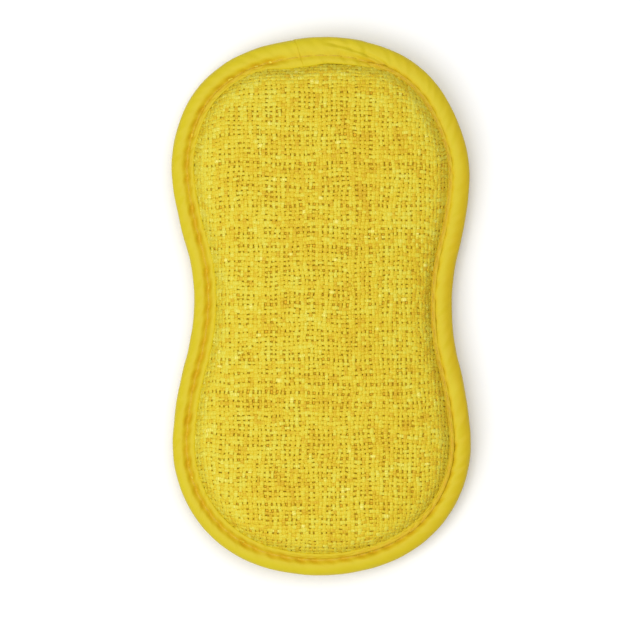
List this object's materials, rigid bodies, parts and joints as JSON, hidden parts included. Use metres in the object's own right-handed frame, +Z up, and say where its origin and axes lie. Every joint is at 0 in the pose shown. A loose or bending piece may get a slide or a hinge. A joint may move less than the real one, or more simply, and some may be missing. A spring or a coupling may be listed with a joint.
{
  "type": "foam scouring pad",
  "caption": "Waisted foam scouring pad with a coarse woven face, a looped cloth back and a folded, stitched edge tape; held in the hand to scrub and wipe surfaces.",
  "frame": {"origin": "middle of the flat underside, on the surface that the pad lies on", "axes": "+Z up out of the scouring face, +Y along the pad towards the end where the tape's two ends overlap, +X to the right seen from above"},
  "size_m": [0.098, 0.1764, 0.02],
  "materials": {
    "foam": "open-cell foam",
    "scour_weave": "coarse open weave of glossy plastic yarn",
    "looped_cloth": "matt looped pile",
    "binding_tape": "satin",
    "sewing_thread": "satin"
  },
  "bodies": {
    "root": {"foam_core": "foam", "scour_cover": "scour_weave", "back_cover": "looped_cloth", "edge_binding": "binding_tape", "needle_thread": "sewing_thread", "bobbin_thread": "sewing_thread"}
  },
  "joints": []
}
